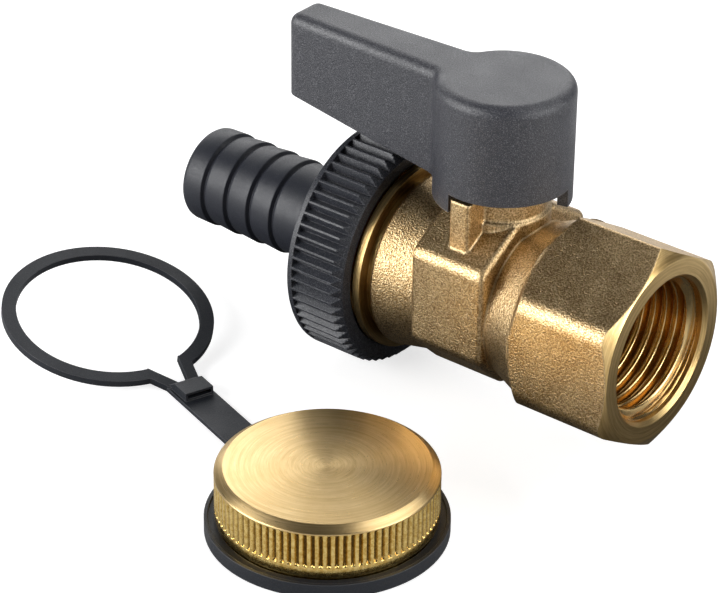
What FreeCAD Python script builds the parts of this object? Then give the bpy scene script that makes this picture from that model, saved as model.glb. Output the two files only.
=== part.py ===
import FreeCAD, Part
import math
import os

# Drain cock: a quarter-turn ball valve with a hose union, and its closing cap lying beside it on a strap.
# Millimetres and degrees. The origin is the centre of the inlet thread where its full turns begin.
# +X points out of the inlet mouth, +Z up along the stem, and the hose tail points to -X.

# Inlet socket and hexagon
inlet_thread_d = 20.955
inlet_thread_depth = 12.0
mouth_chamfer = 0.55
hex_wall = 3.02
hex_length = 16.2
hex_face_inset = 0.15
hex_chamfer_deg = 30.0
hex_rear_bevel = 1.6
hex_side_round = 3.0
hex_ridge_round = 0.5

# Ball and the walls of the body round its chamber
ball_d = 17.0
flow_bore_d = 11.0
chamber_clearance = 0.5
collar_proud = 0.2
collar_wall = 2.4
side_wall = 3.2
roof_wall = 4.4
floor_wall = 1.9
barrel_wall = 2.8
stem_from_mouth = 27.7
block_ahead_of_stem = 5.9
block_behind_stem = 6.5
block_face_top = 8.8
block_face_bottom = -5.2
block_roof_half = 4.5
block_floor_half = 6.2
block_edge_round = 2.0
block_end_round = 0.9
barrel_end_from_stem = 13.2
barrel_flare = 1.3
barrel_end_round = 0.7

# Outlet spigot behind the strap groove
groove_width = 0.9
groove_depth = 1.0
shoulder_proud = 0.68
shoulder_width = 1.2
outlet_thread_d = 26.441
outlet_thread_height = 1.162
outlet_thread_length = 5.4
outlet_lead_in = 0.8

# Seats, stem and the boss that carries it
seat_setback = 0.5
seat_depth = 3.0
retainer_length = 5.0
retainer_slot_width = 2.0
retainer_slot_depth = 1.5
stem_d = 7.0
stem_flange_step = 1.5
stem_flange_height = 1.8
washer_thickness = 0.8
tang_length = 7.0
tang_width = 3.0
tang_depth = 2.2
square_step = 1.0
square_length = 9.5
square_chamfer = 0.5
o_ring_section = 1.3
o_ring_groove_width = 1.6
o_ring_above_washer = 2.1
o_ring_pitch = 3.0
boss_above_o_ring = 2.6
boss_wall = 3.0
boss_foot_round = 0.4
lug_width = 3.3
lug_proud = 0.25
lug_edge_round = 0.5
lug_direction_deg = -90.0

# Handle, with heights from the top of the boss
skirt_wall = 1.6
skirt_lap = 4.0
notch_lap = 1.2
handle_rise = 13.6
lever_reach = 36.0
lever_tip_width = 6.6
lever_root_width = 9.4
lever_root_drop = 2.3
lever_slope_rise = 3.5
lever_wall = 1.8
lever_rib = 1.4
lever_rib_count = 2
handle_edge_round = 1.6
lever_root_round = 2.0
handle_turn_deg = 90.0
stop_play_deg = 1.5

# Hose tail
gasket_thickness = 1.5
tail_length = 31.25
tail_bore_d = 9.6
tail_wall = 2.1
tail_flange_inset = 0.25
tail_flange_thickness = 1.2
tail_spigot_step = 0.4
tail_tip_step = 0.2
tail_tip_round = 1.0
barb_count = 4
barb_height = 0.3
barb_pitch = 4.35
barb_step = 0.35
first_barb_from_tip = 3.95

# Union nut
nut_wall = 2.78
nut_floor_thickness = 1.25
nut_rib_count = 64
nut_rib_height = 1.0
nut_rib_crest_share = 0.16
nut_rib_bevel = 1.0
nut_rim_width = 0.9
nut_lip_width = 0.2
nut_lip_inset = 0.2
nut_mouth_step = 0.83
nut_mouth_depth = 0.8

# Closing cap, standing on its mouth
floor_z = -17.2
cap_x = -23.78
cap_y = -42.15
cap_thread_length = 6.45
cap_thread_relief = 0.4
cap_roof = 2.0
cap_wall = 1.88
cap_knurl_count = 90
cap_knurl_depth = 0.45
cap_knurl_crest_share = 0.45
cap_top_inset = 1.2
cap_top_chamfer = 0.45
cap_band_height = 1.4
cap_lip_proud = 0.4
cap_lip_height = 1.0
cap_groove_inset = 0.5
cap_groove_height = 1.5
cap_gasket_bore_d = 19.0

# Retainer of the cap, laid out along +X from the cap and then turned into place
strap_turn_deg = 159.6
strap_dip_deg = 2.3
ring_width = 1.7
ring_thickness = 0.7
ring_rim_width = 0.5
ring_rim_height = 0.3
strap_length = 26.6
strap_width = 5.3
strap_thickness = 0.6
bar_length = 5.6
bar_height = 1.3
bar_slope = 2.2
bar_side_inset = 0.45
bar_slot_width = 3.8
bar_slot_height = 0.6
bar_slot_depth = 1.2
loop_from_strap = 17.6
loop_play = 0.35
loop_width = 2.1
loop_thickness = 1.0
loop_gap = 6.4
loop_tilt_deg = 13.3
loop_yaw_deg = 10.3
arm_width = 1.7

# Clearances
thread_clearance = 0.05
stem_clearance = 0.08
seat_side_clearance = 0.1
ball_clearance = 0.2
drive_clearance = 0.1
boss_clearance = 0.4
skirt_clearance = 1.65
notch_clearance = 0.4
nut_end_clearance = 0.2
nut_bore_clearance = 0.3
flange_clearance = 0.05
gasket_side_clearance = 0.3
ring_side_clearance = 0.2
ring_end_clearance = 0.15

# How closely an edge has to match to be picked
match = 1e-4

# Sizes and places worked out from the dimensions above
hex_flats = inlet_thread_d + 2 * hex_wall
hex_corner_r = hex_flats / 2 / math.cos(math.radians(30))
collar_front_r = hex_flats / 2 + collar_proud
ball_r = ball_d / 2
seat_socket_r = ball_r + ball_clearance
seat_far = ball_r - seat_setback
seat_near = seat_far - seat_depth
chamber_r = ball_r + chamber_clearance
barrel_r = chamber_r + barrel_wall
barrel_end_r = barrel_r + barrel_flare
groove_r = barrel_end_r - groove_depth
block_half = chamber_r + side_wall
block_roof = chamber_r + roof_wall
block_floor = -chamber_r - floor_wall
outlet_thread_r = outlet_thread_d / 2
outlet_root_r = outlet_thread_r - outlet_thread_height
shoulder_r = outlet_thread_r + shoulder_proud

mouth_x = mouth_chamfer
hex_rear_x = mouth_x - hex_length
stem_x = mouth_x - stem_from_mouth
block_front_x = stem_x + block_ahead_of_stem
block_rear_x = stem_x - block_behind_stem
barrel_end_x = stem_x - barrel_end_from_stem
shoulder_front_x = barrel_end_x - groove_width
shoulder_rear_x = shoulder_front_x - shoulder_width
outlet_x = shoulder_rear_x - outlet_thread_length
flange_front_x = outlet_x - gasket_thickness
flange_rear_x = flange_front_x - tail_flange_thickness
tail_tip_x = flange_front_x - tail_length
nut_front_x = shoulder_rear_x - nut_end_clearance
nut_floor_x = flange_rear_x - flange_clearance
nut_rear_x = nut_floor_x - nut_floor_thickness

stem_r = stem_d / 2
stem_bore_r = stem_r + stem_clearance
stem_flange_r = stem_r + stem_flange_step
square_half = stem_r - square_step
flange_bottom_z = ball_r + ball_clearance
washer_bottom_z = flange_bottom_z + stem_flange_height
washer_top_z = washer_bottom_z + washer_thickness
lower_o_ring_z = washer_top_z + o_ring_above_washer
upper_o_ring_z = lower_o_ring_z + o_ring_pitch
boss_top = upper_o_ring_z + boss_above_o_ring
boss_r = stem_r + boss_wall
square_top = boss_top + square_length

skirt_r = boss_r + skirt_clearance
hub_r = skirt_r + skirt_wall
handle_top = boss_top + handle_rise
skirt_bottom = boss_top - skirt_lap
notch_top = boss_top - notch_lap
lever_root_bottom = boss_top - lever_root_drop
lug_top = notch_top - notch_clearance
lug_half_deg = math.degrees(math.asin(lug_width / 2 / skirt_r))

barb_root_r = tail_bore_d / 2 + tail_wall
tail_flange_r = outlet_root_r - tail_flange_inset
tail_spigot_r = barb_root_r + tail_spigot_step
nut_bore_r = outlet_thread_r + thread_clearance
nut_root_r = nut_bore_r + nut_wall
nut_crest_r = nut_root_r + nut_rib_height

cap_knurl_r = outlet_thread_r + cap_wall
cap_depth = cap_thread_length + gasket_thickness
cap_height = cap_depth + cap_roof
cap_relief_r = outlet_thread_r + cap_thread_relief
cap_groove_r = cap_knurl_r - cap_groove_inset
cap_lip_r = cap_knurl_r + cap_lip_proud
ring_inner_r = cap_groove_r + ring_side_clearance
ring_outer_r = ring_inner_r + ring_width
ring_middle_r = (ring_inner_r + ring_outer_r) / 2
ring_bottom = cap_lip_height + ring_end_clearance
strap_end = ring_inner_r + strap_length
loop_inner_r = barrel_end_r + loop_play
loop_outer_r = loop_inner_r + loop_width


def point(x, y=0.0, z=0.0):
    return FreeCAD.Vector(x, y, z)


def along_x(x, r):
    """Place a profile point of a piece turned about the X axis."""
    return point(x, 0, r)


def along_z(r, z):
    """Place a profile point of a piece turned about the Z axis."""
    return point(r, 0, z)


def rounded_face(corners, place):
    """Return a flat face from (a, b) or (a, b, radius) corners, with the given corners rounded."""
    turns = []
    for index, corner in enumerate(corners):
        radius = corner[2] if len(corner) > 2 else 0.0
        here = place(*corner[:2])
        before = (place(*corners[index - 1][:2]) - here).normalize()
        after = (place(*corners[(index + 1) % len(corners)][:2]) - here).normalize()
        half = before.getAngle(after) / 2
        reach = radius / math.tan(half)
        inward = (before + after).normalize() if radius else before
        middle = here + inward * (radius / math.sin(half) - radius)
        turns.append((here + before * reach, middle, here + after * reach, radius))
    edges = []
    for index, (start, middle, end, radius) in enumerate(turns):
        if radius:
            edges.append(Part.Arc(start, middle, end).toShape())
        edges.append(Part.LineSegment(end, turns[(index + 1) % len(turns)][0]).toShape())
    return Part.Face(Part.Wire(edges))


def turned_x(*corners):
    return rounded_face(corners, along_x).revolve(point(0), point(1), 360)


def turned_z(*corners):
    return rounded_face(corners, along_z).revolve(point(0), point(0, 0, 1), 360)


def rod_x(radius, start, end):
    return Part.makeCylinder(radius, abs(end - start), point(min(start, end)), point(1))


def rod_z(radius, bottom, top):
    return Part.makeCylinder(radius, top - bottom, point(0, 0, bottom))


def block(low, high):
    return Part.makeBox(high[0] - low[0], high[1] - low[1], high[2] - low[2], point(*low))


def on_stem(shape):
    """Move a piece modelled about the Z axis to the stem's axis."""
    return shape.translated(point(stem_x))


def toothed_face(count, root_r, crest_r, crest_share, place):
    """Return a round face with straight-flanked teeth, the crest taking its share of each pitch."""
    pitch = 2 * math.pi / count
    corners = []
    for tooth in range(count):
        middle = tooth * pitch
        for turn, radius in ((-0.5, root_r), (-crest_share / 2, crest_r), (crest_share / 2, crest_r)):
            angle = middle + turn * pitch
            corners.append(place(radius * math.cos(angle), radius * math.sin(angle)))
    return Part.Face(Part.makePolygon(corners + corners[:1]))


def edges_along(shape, direction):
    """Return the straight edges of a shape that run in a direction."""
    found = []
    for edge in shape.Edges:
        if edge.Curve.TypeId == "Part::GeomLine" and edge.tangentAt(0).cross(direction).Length < match:
            found.append(edge)
    return found


def edges_at(shape, axis, value):
    """Return the edges that lie wholly in the plane where one coordinate has a value."""
    found = []
    for edge in shape.Edges:
        box = edge.BoundBox
        low, high = (box.XMin, box.XMax) if axis == "x" else (box.ZMin, box.ZMax)
        if abs(low - value) < match and abs(high - value) < match:
            found.append(edge)
    return found


def hexagon():
    """Return the inlet hexagon, with crisp ridges above and below and rounded corners at the sides."""
    corners = []
    for turn_deg in range(0, 360, 60):
        angle = math.radians(turn_deg)
        corners.append(point(hex_rear_x, hex_corner_r * math.sin(angle), hex_corner_r * math.cos(angle)))
    prism = Part.Face(Part.makePolygon(corners + corners[:1])).extrude(point(hex_length))
    ridges = [edge for edge in edges_along(prism, point(1)) if abs(edge.CenterOfMass.y) < match]
    prism = prism.makeFillet(hex_ridge_round, ridges)
    sides = [edge for edge in edges_along(prism, point(1))
             if abs(abs(edge.CenterOfMass.y) - hex_flats / 2) < match]
    prism = prism.makeFillet(hex_side_round, sides)
    face_r = hex_flats / 2 - hex_face_inset
    chamfer = (hex_corner_r - face_r) * math.tan(math.radians(hex_chamfer_deg))
    envelope = turned_x(
        (mouth_x, 0), (mouth_x, face_r), (mouth_x - chamfer, hex_corner_r),
        (hex_rear_x + hex_rear_bevel, hex_corner_r), (hex_rear_x, collar_front_r), (hex_rear_x, 0))
    return prism.common(envelope)


def middle_block():
    """Return the pressed block round the ball, with a flat pad on each side and a roof up to the boss."""
    section = [
        (-block_half, block_face_bottom, block_edge_round),
        (-block_half, block_face_top, block_edge_round),
        (-block_roof_half, block_roof), (block_roof_half, block_roof),
        (block_half, block_face_top, block_edge_round), (block_half, block_face_bottom, block_edge_round),
        (block_floor_half, block_floor, block_edge_round), (-block_floor_half, block_floor, block_edge_round)]
    face = rounded_face(section, lambda y, z: point(block_rear_x, y, z))
    solid = face.extrude(point(block_front_x - block_rear_x))
    ends = edges_at(solid, "x", block_rear_x) + edges_at(solid, "x", block_front_x)
    return solid.makeFillet(block_end_round, ends)


def stem_boss():
    """Return the round boss that carries the stem, flared at its foot, with the stop lug in front."""
    foot_r = boss_r + boss_foot_round
    boss = turned_z(
        (0, 0), (foot_r, 0), (foot_r, block_roof), (boss_r, block_roof + boss_foot_round),
        (boss_r, boss_top), (0, boss_top))
    lug_reach = hub_r + lug_proud
    lug = block((-lug_width / 2, -lug_reach, 0), (lug_width / 2, 0, lug_top))
    front = [edge for edge in edges_along(lug, point(0, 0, 1)) if edge.CenterOfMass.y < -boss_r]
    return on_stem(boss.fuse(lug.makeFillet(lug_edge_round, front)))


def valve_body():
    """Return the one-piece pressed and turned brass body."""
    collar_rear_r = chamber_r + collar_wall
    collar = turned_x(
        (hex_rear_x, 0), (hex_rear_x, collar_front_r), (block_front_x, collar_rear_r),
        (stem_x, collar_rear_r), (stem_x, 0))
    barrel = turned_x(
        (stem_x, 0), (stem_x, barrel_r), (block_rear_x, barrel_r),
        (barrel_end_x, barrel_end_r, barrel_end_round), (barrel_end_x, groove_r),
        (shoulder_front_x, groove_r), (shoulder_front_x, shoulder_r),
        (shoulder_rear_x, shoulder_r),
        (shoulder_rear_x, outlet_root_r), (outlet_x + outlet_lead_in, outlet_root_r),
        (outlet_x, outlet_root_r - outlet_lead_in), (outlet_x, 0))
    body = hexagon().fuse([collar, middle_block(), stem_boss(), barrel])
    thread_r = inlet_thread_d / 2
    bore_r = flow_bore_d / 2
    passage = turned_x(
        (mouth_x, 0), (mouth_x, thread_r + mouth_chamfer), (0, thread_r), (-inlet_thread_depth, thread_r),
        (-inlet_thread_depth, chamber_r), (stem_x - seat_far, chamber_r),
        (stem_x - seat_far, bore_r), (outlet_x, bore_r), (outlet_x, 0))
    flange_pocket = rod_z(stem_flange_r + stem_clearance, 0, washer_top_z)
    stem_bore = rod_z(stem_bore_r, 0, boss_top)
    return body.cut([passage, on_stem(flange_pocket), on_stem(stem_bore)]).removeSplitter()


def ball():
    """Return the ball at its open position, with the slot for the stem's tang across the flow."""
    slot_half = tang_width / 2 + drive_clearance
    slot = block((-slot_half, -ball_r, ball_r - tang_depth - drive_clearance), (slot_half, ball_r, ball_r))
    return on_stem(Part.makeSphere(ball_r).cut([rod_x(flow_bore_d / 2, -ball_r, ball_r), slot]))


def seat(side):
    """Return a seat ring; side is 1 towards the inlet and -1 towards the outlet."""
    near = side * seat_near
    far = side * seat_far
    ring = rod_x(chamber_r - seat_side_clearance, near, far)
    return on_stem(ring.cut([rod_x(flow_bore_d / 2, near, far), Part.makeSphere(seat_socket_r)]))


def seat_retainer():
    """Return the screwed ring that holds the inlet seat, slotted across its front for a driver."""
    rear = seat_far
    front = rear + retainer_length
    slot = block(
        (front - retainer_slot_depth, -chamber_r, -retainer_slot_width / 2),
        (front, chamber_r, retainer_slot_width / 2))
    ring = rod_x(chamber_r - thread_clearance, rear, front)
    return on_stem(ring.cut([rod_x(flow_bore_d / 2, rear, front), slot]))


def o_ring_groove(z):
    bottom = z - o_ring_groove_width / 2
    top = z + o_ring_groove_width / 2
    return rod_z(stem_r, bottom, top).cut(rod_z(stem_r - o_ring_section, bottom, top))


def stem():
    """Return the stem, put in from inside: tang, flange, ringed shank and square drive."""
    shank = turned_z(
        (0, flange_bottom_z), (stem_flange_r, flange_bottom_z), (stem_flange_r, washer_bottom_z),
        (stem_r, washer_bottom_z), (stem_r, boss_top), (0, boss_top))
    tang = block(
        (-tang_width / 2, -tang_length / 2, ball_r - tang_depth),
        (tang_width / 2, tang_length / 2, flange_bottom_z))
    square = block((-square_half, -square_half, boss_top), (square_half, square_half, square_top))
    square = square.makeChamfer(square_chamfer, edges_at(square, "z", square_top))
    grooves = [o_ring_groove(lower_o_ring_z), o_ring_groove(upper_o_ring_z)]
    return on_stem(shank.fuse([tang, square]).cut(grooves).removeSplitter())


def stem_thrust_washer():
    ring = rod_z(stem_flange_r, washer_bottom_z, washer_top_z)
    return on_stem(ring.cut(rod_z(stem_bore_r, washer_bottom_z, washer_top_z)))


def o_ring(z):
    section_r = o_ring_section / 2
    return on_stem(Part.makeTorus(stem_r - section_r, section_r, point(0, 0, z)))


def lever_prism(inset, bottom, top):
    """Return an upright prism with the lever's tapered plan, its sides moved in by the inset."""
    tip = lever_tip_width / 2 - inset
    root = lever_root_width / 2 - inset
    corners = [
        point(-lever_reach, -tip, bottom), point(0, -root, bottom),
        point(0, root, bottom), point(-lever_reach, tip, bottom)]
    return Part.Face(Part.makePolygon(corners + corners[:1])).extrude(point(0, 0, top - bottom))


def below_lever():
    """Return the wedge of space under the lever's sloping underside."""
    slope = lever_slope_rise / (lever_reach - hub_r)
    start_z = lever_root_bottom - slope * hub_r
    end_z = start_z + slope * lever_reach
    far_y = lever_root_width
    corners = [
        point(0, -far_y, start_z), point(-lever_reach, -far_y, end_z),
        point(-lever_reach, -far_y, 0), point(0, -far_y, 0)]
    return Part.Face(Part.makePolygon(corners + corners[:1])).extrude(point(0, 2 * far_y, 0))


def lever_core():
    """Return the hollow moulded into the lever's underside, left open below between its ribs."""
    start = -hub_r
    end = -lever_reach + lever_wall
    ceiling = handle_top - lever_wall
    half = lever_root_width / 2
    core = lever_prism(lever_wall, skirt_bottom, ceiling)
    core = core.common(block((end, -half, skirt_bottom), (start, half, ceiling)))
    spacing = (end - start) / (lever_rib_count + 1)
    ribs = []
    for index in range(lever_rib_count):
        middle = start + spacing * (index + 1)
        ribs.append(block(
            (middle - lever_rib / 2, -half, skirt_bottom), (middle + lever_rib / 2, half, ceiling)))
    return core.cut(ribs)


def stop_notch():
    """Return the sector cut from the skirt, which lets the lug pass through the handle's turn."""
    side_deg = lug_half_deg + stop_play_deg
    sector = Part.makeCylinder(
        2 * hub_r, notch_top - skirt_bottom, point(0, 0, skirt_bottom), point(0, 0, 1),
        handle_turn_deg + 2 * side_deg)
    sector.rotate(point(0), point(0, 0, 1), lug_direction_deg - side_deg)
    return sector


def handle():
    """Return the moulded lever handle, with a skirt over the boss and a notch that clears the stop lug."""
    upright = point(0, 0, 1)
    lever = lever_prism(0, skirt_bottom, handle_top).cut(below_lever())
    solid = rod_z(hub_r, skirt_bottom, handle_top).fuse(lever).removeSplitter()
    roots = [edge for edge in edges_along(solid, upright) if -hub_r < edge.CenterOfMass.x < 0]
    solid = solid.makeFillet(lever_root_round, roots)
    tips = [edge for edge in edges_along(solid, upright) if edge.CenterOfMass.x < -lever_reach + match]
    solid = solid.makeFillet(handle_edge_round, tips)
    solid = solid.makeFillet(handle_edge_round, edges_at(solid, "z", handle_top))
    hollow = rod_z(skirt_r, skirt_bottom, boss_top + boss_clearance)
    socket_half = square_half + drive_clearance
    socket = block(
        (-socket_half, -socket_half, boss_top), (socket_half, socket_half, square_top + drive_clearance))
    return on_stem(solid.cut([hollow, socket, stop_notch(), lever_core()]))


def hose_tail():
    """Return the moulded hose tail: flange, spigot in the nut, neck, barbs and rounded tip."""
    bore_r = tail_bore_d / 2
    tip_r = barb_root_r + tail_tip_step
    outline = [
        (flange_front_x, bore_r), (flange_front_x, tail_flange_r), (flange_rear_x, tail_flange_r),
        (flange_rear_x, tail_spigot_r), (nut_rear_x, tail_spigot_r), (nut_rear_x, barb_root_r)]
    for index in reversed(range(barb_count)):
        crest_x = tail_tip_x + first_barb_from_tip + index * barb_pitch
        outline += [(crest_x + barb_step, barb_root_r), (crest_x, barb_root_r + barb_height)]
    outline += [(tail_tip_x, tip_r, tail_tip_round), (tail_tip_x, bore_r)]
    return turned_x(*outline)


def hose_tail_gasket():
    ring = rod_x(tail_flange_r, flange_front_x, outlet_x)
    return ring.cut(rod_x(flow_bore_d / 2, flange_front_x, outlet_x))


def union_nut():
    """Return the ribbed union nut: plain rear rim, bevelled ribs and a smooth front lip."""
    hole_r = tail_spigot_r + nut_bore_clearance
    rib_front_x = nut_front_x - nut_lip_width
    rib_rear_x = nut_rear_x + nut_rim_width
    core = turned_x(
        (nut_front_x, nut_bore_r + nut_mouth_step), (nut_front_x, nut_root_r - nut_lip_inset),
        (rib_front_x, nut_root_r), (rib_rear_x, nut_root_r), (rib_rear_x, nut_crest_r),
        (nut_rear_x, nut_crest_r), (nut_rear_x, hole_r), (nut_floor_x, hole_r), (nut_floor_x, nut_bore_r),
        (nut_front_x - nut_mouth_depth, nut_bore_r))
    ribs = toothed_face(
        nut_rib_count, nut_root_r, nut_crest_r, nut_rib_crest_share, lambda y, z: point(rib_rear_x, y, z))
    ribs = ribs.extrude(point(rib_front_x - rib_rear_x))
    inner_r = nut_root_r - nut_wall / 2
    envelope = turned_x(
        (rib_front_x, inner_r), (rib_front_x, nut_crest_r - nut_rib_bevel),
        (rib_front_x - nut_rib_bevel, nut_crest_r), (rib_rear_x, nut_crest_r), (rib_rear_x, inner_r))
    return core.fuse(ribs.common(envelope)).removeSplitter()


def on_cap(shape):
    """Move a piece modelled about the Z axis on the floor to the cap's place."""
    return shape.translated(point(cap_x, cap_y, floor_z))


def closing_cap():
    """Return the turned closing cap with its knurled grip, lying on its mouth."""
    root_r = cap_knurl_r - cap_knurl_depth
    top_r = cap_knurl_r - cap_top_inset
    band_bottom = cap_lip_height + cap_groove_height
    band_top = band_bottom + cap_band_height
    knurl_top = cap_height - cap_top_chamfer
    outside = turned_z(
        (0, 0), (cap_lip_r, 0), (cap_lip_r, cap_lip_height), (cap_groove_r, cap_lip_height),
        (cap_groove_r, band_bottom), (cap_knurl_r, band_bottom), (cap_knurl_r, band_top),
        (root_r, band_top), (root_r, knurl_top), (top_r, cap_height), (0, cap_height))
    teeth = toothed_face(
        cap_knurl_count, root_r, cap_knurl_r, cap_knurl_crest_share, lambda x, y: point(x, y, band_top))
    teeth = teeth.extrude(point(0, 0, cap_height - band_top))
    envelope = turned_z(
        (0, band_top), (cap_knurl_r, band_top), (cap_knurl_r, knurl_top), (top_r, cap_height),
        (0, cap_height))
    thread = rod_z(outlet_thread_r, 0, cap_thread_length)
    relief = rod_z(cap_relief_r, cap_thread_length, cap_depth)
    return on_cap(outside.fuse(teeth.common(envelope)).cut([thread, relief]).removeSplitter())


def cap_gasket():
    ring = rod_z(cap_relief_r - gasket_side_clearance, cap_thread_length, cap_depth)
    return on_cap(ring.cut(rod_z(cap_gasket_bore_d / 2, cap_thread_length, cap_depth)))


def retainer_ring():
    """Return the ring that turns in the cap's groove, with a low rim and a wall down past the cap's lip."""
    top = ring_bottom + ring_thickness
    rim_top = top + ring_rim_height
    rim_r = ring_outer_r - ring_rim_width
    wall_r = cap_lip_r + ring_side_clearance
    return turned_z(
        (ring_inner_r, ring_bottom), (wall_r, ring_bottom), (wall_r, ring_end_clearance),
        (ring_outer_r, ring_end_clearance), (ring_outer_r, rim_top), (rim_r, rim_top), (rim_r, top),
        (ring_inner_r, top))


def retainer_strap():
    """Return the strap and, near its end, the raised bar with a slot in the side towards the cap."""
    top = ring_bottom + strap_thickness
    strap = block((0, -strap_width / 2, ring_bottom), (strap_end, strap_width / 2, top))
    strap = strap.cut(rod_z(ring_middle_r, 0, cap_height))
    bar_half = strap_width / 2 - bar_side_inset
    bar_start = strap_end - bar_length
    corners = [
        point(bar_start, -bar_half, ring_bottom), point(bar_start, -bar_half, top + bar_height),
        point(strap_end - bar_slope, -bar_half, top + bar_height), point(strap_end, -bar_half, top),
        point(strap_end, -bar_half, ring_bottom)]
    bar = Part.Face(Part.makePolygon(corners + corners[:1])).extrude(point(0, 2 * bar_half, 0))
    slot_bottom = top + (bar_height - bar_slot_height) / 2
    slot = block(
        (bar_start, -bar_slot_width / 2, slot_bottom),
        (bar_start + bar_slot_depth, bar_slot_width / 2, slot_bottom + bar_slot_height))
    return strap.fuse(bar).cut(slot)


def retainer_loop():
    """Return the flat loop and its two arms, which leave the end of the strap and rise away from it."""
    middle_r = (loop_outer_r + loop_inner_r) / 2
    gap_deg = 2 * math.degrees(math.asin(loop_gap / 2 / middle_r))
    band = rounded_face(
        ((loop_inner_r, 0), (loop_outer_r, 0), (loop_outer_r, loop_thickness),
         (loop_inner_r, loop_thickness)), along_z)
    band = band.revolve(point(0), point(0, 0, 1), 360 - gap_deg)
    band.rotate(point(0), point(0, 0, 1), 180 + gap_deg / 2)
    band.translate(point(loop_from_strap))
    kink_x = loop_from_strap - middle_r * math.cos(math.radians(gap_deg / 2))
    arms = []
    for side in (-1, 1):
        kink = point(kink_x, side * loop_gap / 2)
        root = point(0, side * (strap_width - arm_width) / 2)
        run = (kink - root).normalize()
        across = point(-run.y, run.x, 0) * (arm_width / 2)
        start = root - run * arm_width
        end = kink + run * (arm_width / 2)
        corners = [start - across, end - across, end + across, start + across]
        arms.append(Part.Face(Part.makePolygon(corners + corners[:1])).extrude(point(0, 0, loop_thickness)))
    loop = band.fuse(arms)
    loop.rotate(point(0), point(0, 1, 0), -loop_tilt_deg)
    loop.rotate(point(0), point(0, 0, 1), loop_yaw_deg)
    return loop.translated(point(strap_end, 0, ring_bottom))


def cap_retainer():
    """Return the moulded retainer: ring round the cap, strap, bar and loop."""
    strap = retainer_strap().fuse(retainer_loop())
    strap.rotate(point(ring_middle_r, 0, ring_bottom), point(0, 1, 0), strap_dip_deg)
    moulding = retainer_ring().fuse(strap).removeSplitter()
    moulding.rotate(point(0), point(0, 0, 1), strap_turn_deg)
    return on_cap(moulding)


os.makedirs("parts", exist_ok=True)
pieces = {
    "valve_body": valve_body(),
    "ball": ball(),
    "inlet_seat": seat(1),
    "outlet_seat": seat(-1),
    "seat_retainer": seat_retainer(),
    "stem": stem(),
    "stem_thrust_washer": stem_thrust_washer(),
    "stem_o_ring_lower": o_ring(lower_o_ring_z),
    "stem_o_ring_upper": o_ring(upper_o_ring_z),
    "handle": handle(),
    "hose_tail": hose_tail(),
    "hose_tail_gasket": hose_tail_gasket(),
    "union_nut": union_nut(),
    "closing_cap": closing_cap(),
    "cap_gasket": cap_gasket(),
    "cap_retainer": cap_retainer(),
}
for name, shape in pieces.items():
    shape.Solids[0].exportStep("parts/" + name + ".step")
    print(name, "solids", len(shape.Solids), "valid", shape.isValid(), "volume", round(shape.Volume, 1))
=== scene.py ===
import math

import bmesh
import bpy
from mathutils import Euler, Matrix, Vector


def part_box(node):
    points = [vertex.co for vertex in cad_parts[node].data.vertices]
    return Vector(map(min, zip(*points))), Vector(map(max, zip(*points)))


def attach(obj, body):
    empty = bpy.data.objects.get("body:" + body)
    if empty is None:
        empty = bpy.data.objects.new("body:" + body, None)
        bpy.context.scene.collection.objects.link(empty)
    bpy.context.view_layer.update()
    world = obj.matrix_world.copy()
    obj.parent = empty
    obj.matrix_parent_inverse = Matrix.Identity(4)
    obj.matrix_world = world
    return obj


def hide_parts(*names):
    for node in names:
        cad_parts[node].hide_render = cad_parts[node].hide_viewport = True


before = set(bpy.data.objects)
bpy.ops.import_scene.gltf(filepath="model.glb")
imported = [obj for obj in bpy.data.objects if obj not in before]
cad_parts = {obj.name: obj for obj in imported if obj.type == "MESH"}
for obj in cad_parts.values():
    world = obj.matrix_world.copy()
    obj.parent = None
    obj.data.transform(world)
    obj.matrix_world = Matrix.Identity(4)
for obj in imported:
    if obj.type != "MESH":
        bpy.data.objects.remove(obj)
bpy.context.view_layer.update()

# The looks of a drain cock: pressed and turned brass, moulded plastic handle, hose union and strap.
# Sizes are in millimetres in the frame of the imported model, and meshes are scaled to metres as they are made.
MM = 0.001


def colour(red, green, blue):
    return (red, green, blue, 1.0)


def box_mm(node):
    """Return the lowest and highest corner of a node in millimetres."""
    low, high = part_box(node)
    return Vector(low) / MM, Vector(high) / MM


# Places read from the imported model
body_low, body_high = box_mm("valve_body")
nut_low, nut_high = box_mm("union_nut")
tail_low, tail_high = box_mm("hose_tail")
cap_low, cap_high = box_mm("closing_cap")
mouth_x = body_high.x
outlet_x = body_low.x
cap_centre = (cap_low + cap_high) / 2
floor_z = cap_low.z

# Threads
inlet_thread_r = 20.955 / 2
outlet_thread_r = 26.441 / 2
thread_pitch = 1.814
thread_height = 1.162
inlet_thread_depth = 12.0
outlet_thread_length = 5.4
thread_flat_share = 0.2
thread_step = 0.09
thread_runout = 1.2
thread_bed = 0.06
thread_lead = 0.65
thread_sharp_deg = 60.0
inside_thread_turns = 200
outside_thread_turns = 160
cap_thread_start = 0.2

# Body
hex_flats = 27.0
hex_face_inset = 0.15
hex_chamfer_deg = 30.0
barrel_end_x = outlet_x + 7.5
groove_width = 0.9
shoulder_r = outlet_thread_r + 0.68
# Width of the painted shade on the flare beside the strap groove
flare_shade_width = 1.7
bore_zone_r = 11.06
bore_zone_top = 11.5
bore_zone_blur = 0.1
machined_blur = 0.03
outlet_blur = 0.05
# Strength and soft rim of the painted shade in the strap groove
groove_shade_share = 0.4
groove_shade_rim_blur = 0.15

# Union nut
nut_crest_r = nut_high.z
nut_rib_count = 64
nut_rib_height = 1.0
nut_rib_crest_share = 1 / 6
nut_rib_bevel = 1.0
nut_rim_width = 0.9
nut_lip_width = 0.2
nut_lip_inset = 0.2
nut_mouth_step = 0.83
nut_mouth_depth = 0.8
nut_floor_thickness = 1.25
nut_bore_r = outlet_thread_r + 0.05
nut_hole_r = 7.6
nut_edge_round = 0.14
nut_rib_end_step = 0.02
nut_rib_end_start = 0.015
nut_points_per_rib = 12
nut_longest_run = 0.6
nut_sharp_deg = 20.0

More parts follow.
